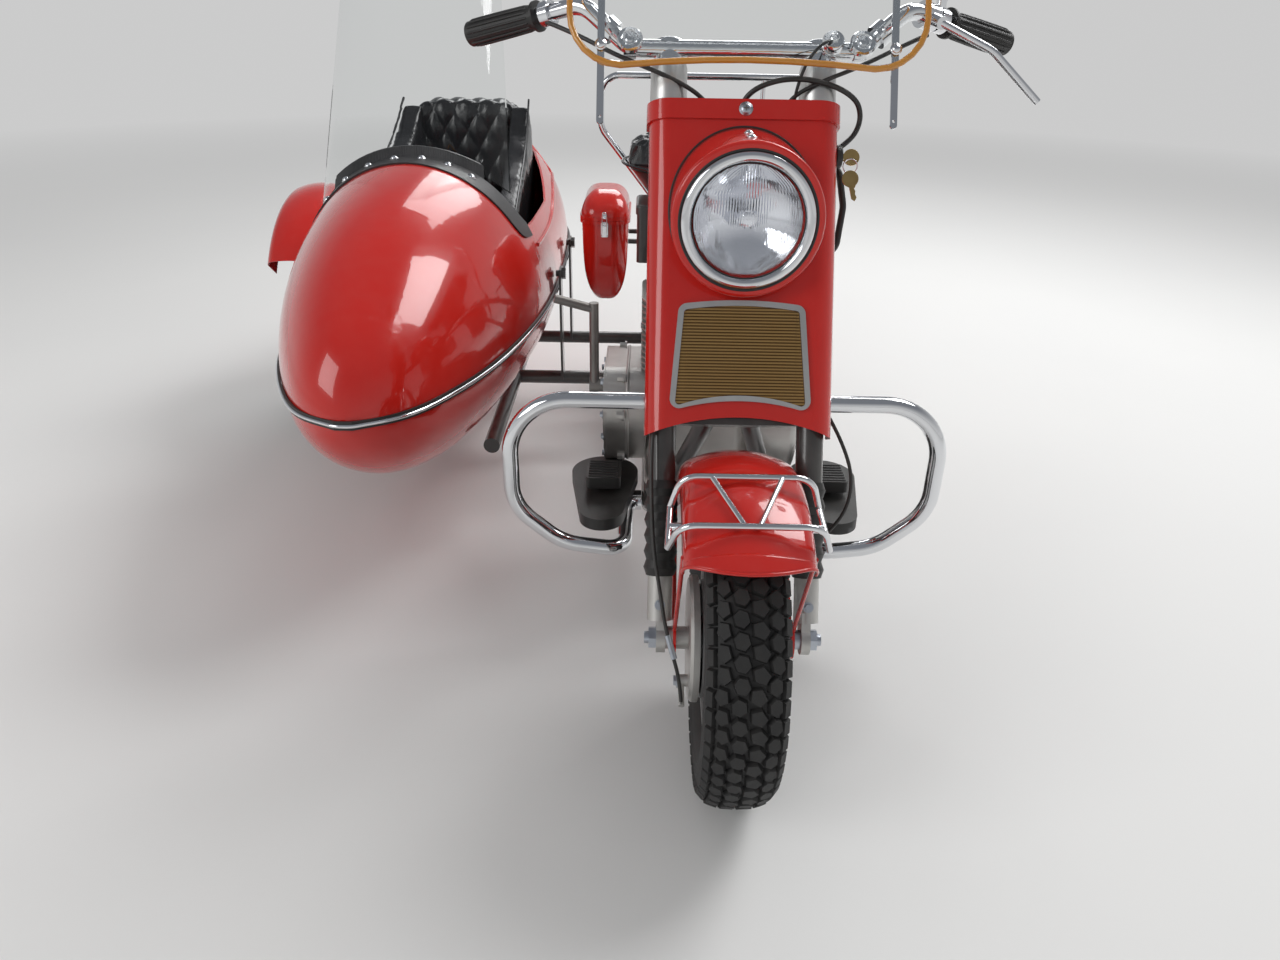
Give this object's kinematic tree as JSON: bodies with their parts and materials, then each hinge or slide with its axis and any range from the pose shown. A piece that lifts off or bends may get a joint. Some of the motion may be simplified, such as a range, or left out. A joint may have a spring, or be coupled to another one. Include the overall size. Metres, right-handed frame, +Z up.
{
  "type": "motor scooter with sidecar",
  "caption": "Red 1950s-style motor scooter with windshield, crash bar, saddlebags and a boat-shaped sidecar with its own windscreen, standing on its wheels.",
  "frame": {"origin": "middle of the whole outline, on the ground", "axes": "+Y to the rear along the wheels, +X to the rider's left, away from the sidecar, +Z up"},
  "size_m": [1.459, 2.071, 1.3055],
  "materials": {
    "red_paint": "gloss",
    "black_paint": "gloss",
    "chrome": "polished",
    "cast_alloy": "satin",
    "cast_iron": "satin",
    "steel": "satin",
    "silver_paint": "gloss",
    "tyre_rubber": "matte",
    "black_rubber": "matte",
    "black_leather": "satin",
    "clear_sheet": "clear",
    "lamp_glass": "clear",
    "red_glass": "gloss",
    "gold_panel": "satin",
    "floor_board": "matte"
  },
  "bodies": {
    "chassis": {"bag_latches": "chrome", "battery_box": "black_paint", "chain_case": "black_paint", "cradle": "black_paint", "crash_bar": "chrome", "engine_case": "cast_alloy", "engine_cylinder": "cast_iron", "exhaust": "steel", "footboards": "black_rubber", "fuel_tank": "red_paint", "kick_starter": "chrome", "main_frame": "black_paint", "rear_axle": "steel", "rear_fender": "red_paint", "rear_frame": "black_paint", "saddle": "black_leather", "saddle_pan": "black_paint", "saddlebags": "red_paint", "seat_rail": "chrome", "sidecar_band": "black_rubber", "sidecar_belt": "chrome", "sidecar_cowl": "red_paint", "sidecar_cushion": "black_leather", "sidecar_fender": "red_paint", "sidecar_floor": "floor_board", "sidecar_frame": "black_paint", "sidecar_seat_back": "black_leather", "sidecar_tub": "red_paint", "sidecar_windscreen": "clear_sheet", "tail_lamp": "red_glass"},
    "steering": {"fork_tubes": "black_paint", "fork_sliders": "cast_alloy", "fork_gaiters": "black_rubber", "front_axle": "steel", "brake_plate": "cast_alloy", "nacelle": "red_paint", "headlamp_rim": "chrome", "headlamp_lens": "lamp_glass", "badge_frame": "chrome", "badge_panel": "gold_panel", "handlebar": "chrome", "grips": "black_rubber", "brake_lever": "chrome", "mirrors": "chrome", "windshield": "clear_sheet", "windshield_clamps": "chrome", "front_fender": "red_paint", "fender_guard": "chrome", "lamp_cable": "black_rubber"},
    "front_roller": {"front_tyre": "tyre_rubber", "front_wheel": "silver_paint"},
    "rear_roller": {"rear_tyre": "tyre_rubber", "rear_wheel": "silver_paint"},
    "sidecar_roller": {"sidecar_tyre": "tyre_rubber", "sidecar_wheel": "silver_paint"},
    "right_lid": {"bag_lid_right": "red_paint"},
    "left_lid": {"bag_lid_left": "red_paint"}
  },
  "joints": [
    {"name": "steer", "type": "hinge", "parent": "chassis", "child": "steering", "pos_m": [0.2395, -0.62883, 0.47515], "axis": [0, 0.4462, 0.8949], "range_deg": [-35, 35]},
    {"name": "front_wheel_spin", "type": "hinge", "parent": "steering", "child": "front_roller", "pos_m": [0.2395, -0.8195, 0.216], "axis": [1, 0, 0], "continuous": true},
    {"name": "rear_wheel_spin", "type": "hinge", "parent": "chassis", "child": "rear_roller", "pos_m": [0.2395, 0.4805, 0.216], "axis": [1, 0, 0], "continuous": true},
    {"name": "sidecar_wheel_spin", "type": "hinge", "parent": "chassis", "child": "sidecar_roller", "pos_m": [-0.6655, 0.4405, 0.216], "axis": [1, 0, 0], "continuous": true},
    {"name": "right_lid_hinge", "type": "hinge", "parent": "chassis", "child": "right_lid", "pos_m": [0.0325, 0.2505, 0.5702], "axis": [-1, 0, 0], "range_deg": [0, 95]},
    {"name": "left_lid_hinge", "type": "hinge", "parent": "chassis", "child": "left_lid", "pos_m": [0.4465, 0.2505, 0.5702], "axis": [-1, 0, 0], "range_deg": [0, 95]}
  ]
}
